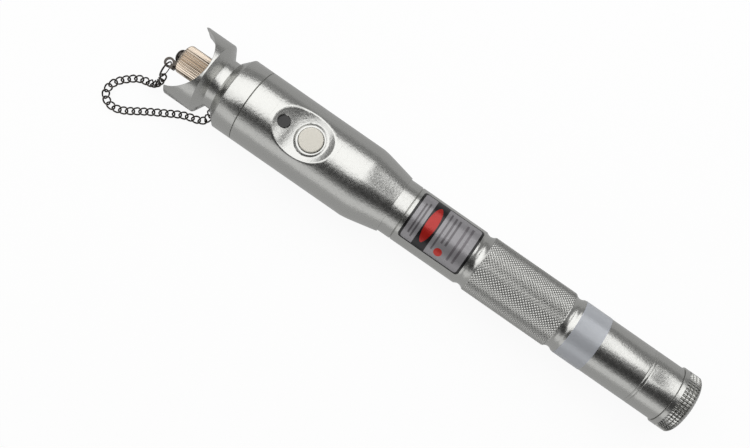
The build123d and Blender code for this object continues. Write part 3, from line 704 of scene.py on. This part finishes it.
in_window = (row >= 4) & (row < 76) & (column >= AROUND // 2 - half) & (column < AROUND // 2 + half)
faces = faces[~in_window]

# %% Head shell: from the window in to the dish's outline
arc = BODY_R * TURN * np.arange(-half, half + 1)
between = columns_x[1:-1]
ones = np.ones(len(arc))
edge_x = np.concatenate([ones * WINDOW_X[1], between[::-1], ones * WINDOW_X[0], between])
edge_a = np.concatenate([arc, np.full(len(between), arc[-1]), arc[::-1], np.full(len(between), arc[0])])
window = np.stack([edge_x, edge_a], -1)
ray = window - [DISH_X, 0]
low, high = np.zeros(len(ray)), np.ones(len(ray))
for _ in range(40):
    mid = (low + high) / 2
    x, a = np.abs(ray * mid[:, None]).T
    outside = (x > DISH_LENGTH / 2) | (a > outline_arc(np.clip(x, 0, DISH_LENGTH / 2) + DISH_X))
    low, high = np.where(outside, low, mid), np.where(outside, mid, high)
outline = ray * low[:, None] + [DISH_X, 0]
before_split = outline[:, 0] < SPLIT_X
crossing = np.flatnonzero(before_split != np.roll(before_split, 1))
for i in crossing:
    outline[i] = [SPLIT_X, math.copysign(float(outline_arc(SPLIT_X)), outline[i, 1])]
lip = outline + ray / np.linalg.norm(ray, axis=1, keepdims=True) * LIP
rows = fan(window, lip, 7)
outer = on_barrel(rows[..., 0], rows[..., 1])
count = len(window)


rim_flat = np.stack([outline[:, 0], BODY_R * np.sin(outline[:, 1] / BODY_R)], -1)
inward = np.array([DISH_X, 0]) - rim_flat
inset = rim_flat + inward / np.linalg.norm(inward, axis=1, keepdims=True) * LIP
inset[crossing, 0] = SPLIT_X
rim_rows = np.stack([outer[-1], dish_floor(inset)])
parts = [(barrel.reshape(-1, 3), faces)]
parts.append((outer.reshape(-1, 3), grid_faces(len(outer), count, False, True)))
parts.append((rim_rows.reshape(-1, 3), grid_faces(2, count, False, True)))

# %% Head shell: from the outline in to the two holes, and down them
first, second = sorted(crossing)
loop_a = inset[first : second + 1]
loop_b = np.concatenate([inset[second:], inset[: first + 1]])
if loop_a[:, 0].mean() > loop_b[:, 0].mean():
    loop_a, loop_b = loop_b, loop_a
line_y = np.linspace(loop_a[-1, 1], loop_a[0, 1], 26)[1:-1]
chord = np.stack([np.full(24, SPLIT_X), line_y], -1)
loop_a = np.concatenate([loop_a, chord])
loop_b = np.concatenate([loop_b, chord[::-1]])


def hole_fan(loop, x, mouth_r, steps):
    """A fan from a closed loop on the dish in to a round hole about (x, 0): each point of the loop
    goes straight towards the hole's centre. Gives the fan's rows and the hole's mouth."""
    away = loop - [x, 0]
    mouth = [x, 0] + away / np.linalg.norm(away, axis=1, keepdims=True) * mouth_r
    return dish_floor(fan(loop, mouth, steps)), mouth


def ring_at(mouth, x, radius, height):
    """The mouth's ring of points at another radius and at a height over the axis."""
    out = mouth - [x, 0]
    flat = [x, 0] + out / np.linalg.norm(out, axis=1, keepdims=True) * radius
    return np.concatenate([flat, np.broadcast_to(height, (len(flat), 1))], -1)


def bore_ring(mouth, x, radius):
    """Where a round hole comes out in the head's bore: the ring at the bore's height over each y."""
    flat = ring_at(mouth, x, radius, 0.0)
    flat[:, 2] = np.sqrt(HEAD_BORE**2 - flat[:, 1] ** 2)
    return flat


spot_rows, spot_mouth = hole_fan(loop_b, BUTTON_X, SPOT_R + 0.06, 16)
edge_z = dish_z(BUTTON_X + (spot_mouth[:, :1] - BUTTON_X) * SPOT_R / (SPOT_R + 0.06))
spot_walls = np.stack(
    [
        spot_rows[-1],
        ring_at(spot_mouth, BUTTON_X, SPOT_R, np.maximum(edge_z - 0.06, SPOT_Z)),
        ring_at(spot_mouth, BUTTON_X, SPOT_R, SPOT_Z),
        ring_at(spot_mouth, BUTTON_X, HOLE_R + 0.1, SPOT_Z),
        ring_at(spot_mouth, BUTTON_X, HOLE_R, SPOT_Z - 0.1),
        bore_ring(spot_mouth, BUTTON_X, HOLE_R),
    ]
)
light_rows, light_mouth = hole_fan(loop_a, LIGHT_X, LIGHT_R + 0.1, 12)
light_walls = np.stack(
    [
        light_rows[-1],
        ring_at(light_mouth, LIGHT_X, LIGHT_R, dish_floor(light_mouth)[:, 2:] - 0.1),
        bore_ring(light_mouth, LIGHT_X, LIGHT_R),
    ]
)
for block in (spot_rows, spot_walls, light_rows, light_walls):
    parts.append((block.reshape(-1, 3), grid_faces(len(block), block.shape[1], False, True)))

# %% Head shell: the bore, with the same two holes
bore_x = np.array([SPIGOT_END, *WINDOW_X, SEAT_X])
bore_arc = HEAD_BORE * TURN * half


def bore_fan(mouth, x, hole_r, low_x, high_x):
    """The piece of the bore round a hole of radius hole_r: from the hole's ring out to a box in
    (x, arc) that ends at low_x and high_x and at the window's sides."""
    out = mouth - [x, 0]
    out = out / np.linalg.norm(out, axis=1, keepdims=True)
    ring = [x, 0] + out * hole_r
    ring_a = HEAD_BORE * np.arcsin(ring[:, 1] / HEAD_BORE)
    span = np.where(out[:, 0] > 0, high_x - x, x - low_x)
    reach_x = span / np.maximum(np.abs(out[:, 0]), 1e-9)
    reach_a = bore_arc / np.maximum(np.abs(out[:, 1]), 1e-9)
    edge = [x, 0] + out * np.minimum(reach_x, reach_a)[:, None]
    rows = fan(np.stack([ring[:, 0], ring_a], -1), edge, 6)
    return on_barrel(rows[..., 0], rows[..., 1], HEAD_BORE)


spot_bore = bore_fan(spot_mouth, BUTTON_X, HOLE_R, SPLIT_X, WINDOW_X[1])
light_bore = bore_fan(light_mouth, LIGHT_X, LIGHT_R, WINDOW_X[0], SPLIT_X)
for block in (spot_bore, light_bore):
    parts.append((block.reshape(-1, 3), grid_faces(len(block), block.shape[1], False, True)))
bore_grid = round_axis(bore_x[:, None], HEAD_BORE, angle)
bore_faces = grid_faces(4, AROUND + 1)
row, column = bore_faces[:, 0] // (AROUND + 1), bore_faces[:, 0] % (AROUND + 1)
inside = (row == 1) & (column >= AROUND // 2 - half) & (column < AROUND // 2 + half)
parts.append((bore_grid.reshape(-1, 3), bore_faces[~inside]))
seat_x = np.array([SPIGOT_END, SPIGOT_END, NOSE_LENGTH])
seat_r = np.array([HEAD_BORE, SEAT_R, SEAT_R])
spigot = round_axis(seat_x[:, None], seat_r[:, None], angle)
parts.append((spigot.reshape(-1, 3), grid_faces(3, AROUND + 1)))

offsets = np.cumsum([0] + [len(points) for points, _ in parts])
head_points = np.concatenate([points for points, _ in parts]) * MM
head_faces = np.concatenate([quads + shift for (_, quads), shift in zip(parts, offsets)])
to_object(
    "head_shell_milled", head_points, head_faces, "pen", BLASTED_ALUMINIUM, "satin_aluminium", "head_shell",
    sharp=28,
)

# %% [markdown]
# The button is a moulded disc with a low crown and a soft edge, which slides in the hole with a small
# gap. The switch's stem under it is part of the same moulding.

# %% Button
BUTTON_R, BUTTON_TOP = 3.9, 11.0


def upright(name, outline, centre_x, body, material, slot, *stands_for, around=160):
    """A piece turned about an upright line through (centre_x, 0), from a closed outline of (radius,
    height) in mm: each outline point runs round a level circle."""
    loop = np.array(outline, float)
    turn = np.linspace(0, 2 * np.pi, around, endpoint=False)[None]
    points = np.stack(
        [
            centre_x + loop[:, :1] * np.cos(turn),
            loop[:, :1] * np.sin(turn),
            np.repeat(loop[:, 1:], around, 1),
        ],
        -1,
    )
    return to_object(
        name, points * MM, grid_faces(len(loop), around, True, True), body, material, slot, *stands_for
    )


crown = [(r, BUTTON_TOP - 0.08 * (r / 3.6) ** 2) for r in np.linspace(0, 3.45, 9)]
edge_turns = np.linspace(0.15, math.pi / 2, 7)
edge_arc = [(3.55 + 0.35 * math.sin(a), 10.57 + 0.35 * math.cos(a)) for a in edge_turns]
button_outline = crown + edge_arc + [(BUTTON_R, 8.9), (1.6, 8.9), (1.6, 7.0), (0, 7.0)]
upright("power_button_cap", button_outline, BUTTON_X, "button", BUTTON_ABS, "button_cap", "power_button")

# %% [markdown]
# The tether is a curb chain of round wire: each link has a quarter twist, so that all of them lie
# alike. Each CAD link is a straight one, and all of them have the same triangles, so a link's middle
# and its long direction can be read from its points: they spread most along it.

# %% Tether chain
LINK_LENGTH, LINK_WIDTH, WIRE = 3.3, 2.6, 0.42
WIRE_SHARE = 1.3  # the wire is drawn this much thicker than in the solids, which keep a gap
LINKS = 31


def face_corners(mesh):
    """The place in mm of each corner of each face of a mesh, one after another."""
    places = np.empty(len(mesh.vertices) * 3, np.float32)
    mesh.vertices.foreach_get("co", places)
    corners = np.empty(len(mesh.loops), np.int32)
    mesh.loops.foreach_get("vertex_index", corners)
    return places.reshape(-1, 3)[corners] / MM


links = face_corners(nodes["tether_chain"].data).reshape(LINKS, -1, 3)
middles = links.mean(1)
centred = links - middles[:, None]
_, axes = np.linalg.eigh(np.einsum("lpi,lpj->lij", centred, centred))
long_axis = axes[:, :, 2]
onward = np.gradient(middles, axis=0)
long_axis = long_axis * np.sign((long_axis * onward).sum(1, keepdims=True))
level_axis = np.cross([0.0, 0.0, 1.0], long_axis)
level_axis /= np.linalg.norm(level_axis, axis=1, keepdims=True)
print("links:", LINKS, "triangles in each:", links.shape[1] // 3)


def stadium(length, width, around):
    """Points of a stadium's centreline and its outward direction: two half circles of the width, joined
    by straights, at equal steps of the length round it."""
    radius, straight = width / 2, length - width
    out, back = math.pi * radius, math.pi * radius + straight
    s = np.arange(around) / around * (2 * back)
    stretch = [s < out, s < back, s < back + out]
    turns = [s / radius - math.pi / 2, math.pi / 2, (s - back) / radius + math.pi / 2]
    turn = np.select(stretch, turns, 1.5 * math.pi)
    centres = [straight / 2, straight / 2 - (s - out), -straight / 2]
    x = np.select(stretch, centres, s - back - out - straight / 2)
    direction = np.stack([np.cos(turn), np.sin(turn)], -1)
    return np.stack([x, 0 * x], -1) + direction * radius, direction


track, outward = stadium(LINK_LENGTH - WIRE, LINK_WIDTH - WIRE, 28)
section = np.linspace(0, 2 * np.pi, 8, endpoint=False)
wire_r = WIRE / 2 * WIRE_SHARE
flat = track[:, None] + outward[:, None] * np.cos(section)[None, :, None] * wire_r
height = np.broadcast_to(np.sin(section) * wire_r, flat.shape[:2])
local = np.concatenate([flat, height[..., None]], -1).reshape(-1, 3)
twist = local[:, 0] / (LINK_LENGTH / 2) * math.radians(45)
local = np.stack(
    [
        local[:, 0],
        local[:, 1] * np.cos(twist) - local[:, 2] * np.sin(twist),
        local[:, 1] * np.sin(twist) + local[:, 2] * np.cos(twist),
    ],
    -1,
)
basis = np.stack([long_axis, level_axis, np.cross(long_axis, level_axis)], 1)
chain_points = middles[:, None] + np.einsum("pk,lki->lpi", local, basis)
one_link = grid_faces(28, 8, True, True)
chain_faces = (one_link[None] + np.arange(LINKS)[:, None, None] * len(local)).reshape(-1, 4)
to_object(
    "tether_chain_wire", chain_points * MM, chain_faces, "pen", DARK_NICKEL, "blackened_steel",
    "tether_chain", sharp=80,
)

# %% [markdown]
# The ring between the cap and the chain is a split ring, a flattened wire wound twice round, as on a
# bunch of keys. It is a coil whose two turns touch, with a short step where one passes to the other.

# %% Split ring
EYE_X, RING_Y, RING_R, RING_WIRE = -4.2, -3.45, 2.75, 0.25
RING_SLOPE = math.radians(22.0)
ring_middle = np.array([EYE_X, RING_Y - RING_R * math.cos(RING_SLOPE), -RING_R * math.sin(RING_SLOPE)])


def coil(turns, steps, section_steps):
    """A flat wire wound about a line along X: at each angle its section, a rounded square of
    2 * RING_WIRE by RING_WIRE, stands out from a circle, and half way round it steps over to the
    second turn by a smooth S of the angle."""
    angle = np.linspace(0, turns * 2 * np.pi, steps)
    step_over = np.clip((angle - 0.9 * np.pi) / (0.5 * np.pi), 0, 1)
    s = step_over * step_over * (3 - 2 * step_over)
    offset = (s - 0.5) * RING_WIRE * 1.04
    around_section = np.linspace(0, 2 * np.pi, section_steps, endpoint=False)
    square = np.sign(np.cos(around_section)) * np.abs(np.cos(around_section)) ** 0.6
    flat_side = np.sign(np.sin(around_section)) * np.abs(np.sin(around_section)) ** 0.6
    radius = RING_R + RING_WIRE * square[None]
    x = offset[:, None] + RING_WIRE / 2 * flat_side[None]
    start = math.radians(200)
    return round_axis(x, radius, (angle + start)[:, None])


turns_of_wire = coil(2.0, 181, 12)
ends = np.stack([np.repeat(turns_of_wire[:1].mean(1), 12, 0), np.repeat(turns_of_wire[-1:].mean(1), 12, 0)])
ring_points = np.concatenate([ends[:1], turns_of_wire, ends[1:]]) + ring_middle
to_object(
    "split_ring_coil", ring_points * MM, grid_faces(len(ring_points), 12, False, True), "ring", DARK_NICKEL,
    "blackened_steel", "split_ring", sharp=50,
)

# %% [markdown]
# Two printed films are wrapped on the tubes. Each is a thin sheet bent round the tube, and its UV map
# is laid out in millimetres along and round the pen, so that the printed fields are drawn by distance.

# %% Wrapped films
FILM = 0.12
LABEL_X, LABEL_LENGTH, LABEL_HALF = 85.6, 22.6, math.radians(56)
SEAL_X, SEAL_LENGTH = 146.9, 9.6


def wrapped(name, start, length, half_angle, corner, material, slot, node, along=60, around=120):
    """A film on the tube: an (x, arc) sheet whose ends pull in towards its corners by a quarter circle
    of the corner's radius, bent round the tube, with its edges turned down to the tube."""
    x = np.linspace(0, length, along)
    near_end = np.minimum(x, length - x)
    pull = corner - np.sqrt(np.clip(corner**2 - np.clip(corner - near_end, 0, None) ** 2, 0, None))
    half = half_angle * TUBE_R - pull
    t = np.linspace(-1, 1, around)
    arc = t[None] * half[:, None]
    height = np.full_like(arc, FILM)
    xs = np.repeat(x[:, None] + start, around, 1)
    closed = half_angle >= math.pi - 1e-6
    low = np.zeros_like(arc[:1])
    arc = np.concatenate([arc[:1], arc, arc[-1:]])
    xs = np.concatenate([xs[:1], xs, xs[-1:]])
    height = np.concatenate([low, height, low])
    if not closed:
        arc = np.concatenate([arc[:, :1], arc, arc[:, -1:]], 1)
        xs = np.concatenate([xs[:, :1], xs, xs[:, -1:]], 1)
        height = np.concatenate([height[:, :1] * 0, height, height[:, -1:] * 0], 1)
    radius = TUBE_R + height
    turn = arc / TUBE_R
    points = round_axis(xs, radius, turn)
    faces = grid_faces(*arc.shape)
    piece = to_object(name, points * MM, faces[:, ::-1], "pen", material, slot, node, sharp=60)
    mesh = piece.data
    layout = mesh.uv_layers.new(name="film")
    places = face_corners(mesh)
    round_arc = np.arctan2(places[:, 1], places[:, 2]) * TUBE_R
    layout.data.foreach_set("uv", np.stack([places[:, 0] - start, round_arc], -1).astype(np.float32).ravel())
    return piece


def film_material(name, ground, roughness, metallic, fields):
    """A printed film: fields of colour over a ground. Each field is a shape in millimetres on the
    film, a rounded box, a lozenge or a dot, and is 1 inside and 0 outside with a soft edge. A lozenge
    is where the shares of its half length and half width, each to the power 1.8, add up to under 1."""
    material = new_material(name)
    tree = material.node_tree
    place = add_node(tree, "ShaderNodeUVMap", {"uv_map": "film"})
    parts = add_node(tree, "ShaderNodeSeparateXYZ", i0=place.outputs[0])

    def calc(operation, first, second=None):
        """One Math node whose inputs are sockets or numbers."""
        node = add_node(tree, "ShaderNodeMath", {"operation": operation})
        for i, value in enumerate([first, second]):
            if isinstance(value, (int, float)):
                node.inputs[i].default_value = value
            elif value is not None:
                tree.links.new(value, node.inputs[i])
        return node.outputs[0]

    def distance(across, along):
        """The square root of the sum of two squares."""
        return calc("SQRT", calc("ADD", calc("MULTIPLY", across, across), calc("MULTIPLY", along, along)))

    colour = None
    base = hex_to_linear(ground)
    for kind, (cx, cy), (hx, hy), extra, code, inside in fields:
        dx = calc("ABSOLUTE", calc("SUBTRACT", parts.outputs[0], cx))
        dy = calc("ABSOLUTE", calc("SUBTRACT", parts.outputs[1], cy))
        if kind == "box":
            ox = calc("MAXIMUM", calc("SUBTRACT", dx, hx - extra), 0.0)
            oy = calc("MAXIMUM", calc("SUBTRACT", dy, hy - extra), 0.0)
            away = calc("SUBTRACT", distance(ox, oy), extra)
        elif kind == "lozenge":
            shares = [calc("POWER", calc("DIVIDE", d, h), 1.8) for d, h in ((dx, hx), (dy, hy))]
            away = calc("MULTIPLY", calc("SUBTRACT", calc("ADD", *shares), 1.0), hx)
        else:
            away = calc("SUBTRACT", distance(dx, dy), hx)
        edges = {"From Min": -0.05, "From Max": 0.05, "To Min": 1.0, "To Max": 0.0}
        if not inside:
            edges.update({"To Min": 0.0, "To Max": 1.0})
        mask = add_node(tree, "ShaderNodeMapRange", edges, Value=away)
        tints = {"data_type": "RGBA", 6: base, 7: hex_to_linear(code)}
        mix = add_node(tree, "ShaderNodeMix", tints, Factor=mask.outputs[0])
        if colour is not None:
            tree.links.new(colour, mix.inputs[6])
        colour = mix.outputs[2]
    *_, rough, bump = grained(tree, roughness, 0.1, 1 / 0.9, 0.003)
    shader = add_node(
        tree,
        "ShaderNodeBsdfPrincipled",
        {"Metallic": metallic, "Coat Weight": 0.3, "Coat Roughness": 0.15},
        Roughness=rough.outputs[0],
        Normal=bump.outputs[0],
    )
    tree.links.new(colour, shader.inputs["Base Color"])
    add_node(tree, "ShaderNodeOutputMaterial", Surface=shader.outputs[0])
    return material


label_arc = LABEL_HALF * TUBE_R
LABEL_FOIL = film_material(
    "printed foil label",
    "#8F8D90",
    0.3,
    0.4,
    [
        ("box", (7.4, 0), (2.3, label_arc), 0.05, "#161417", True),
        ("lozenge", (7.3, 0), (1.8, 6.6), 0, "#A91C15", True),
        ("box", (2.5, -0.6), (0.3, 5.6), 0.1, "#5B585B", True),
        ("box", (3.7, -0.6), (0.3, 6.4), 0.1, "#5B585B", True),
        ("box", (11.2, 0.4), (0.3, 6.9), 0.1, "#625F62", True),
        ("box", (12.9, 1.9), (0.35, 5.0), 0.1, "#625F62", True),
        ("box", (14.4, 1.9), (0.35, 5.0), 0.1, "#625F62", True),
        ("box", (17.2, 0.2), (0.4, 6.8), 0.1, "#6A666A", True),
        ("box", (19.1, 0.2), (0.4, 6.8), 0.1, "#6A666A", True),
        ("dot", (13.6, -6.1), (1.4, 0), 0, "#B8281E", True),
        ("box", (LABEL_LENGTH / 2, 0), (LABEL_LENGTH / 2 - 0.85, label_arc - 0.5), 1.0, "#121113", False),
    ],
)
SEAL_FOIL = film_material(
    "silvered seal film",
    "#B4B7BC",
    0.34,
    0.35,
    [("box", (SEAL_LENGTH / 2, 0), (SEAL_LENGTH / 2 - 0.2, 40.0), 0.05, "#B4B8C0", False)],
)
wrapped("label_film", LABEL_X, LABEL_LENGTH, LABEL_HALF, 1.2, LABEL_FOIL, "label_print", "label_patch")
wrapped("seal_film", SEAL_X, SEAL_LENGTH, math.pi, 0.001, SEAL_FOIL, "seal_paper", "seal_band", around=241)
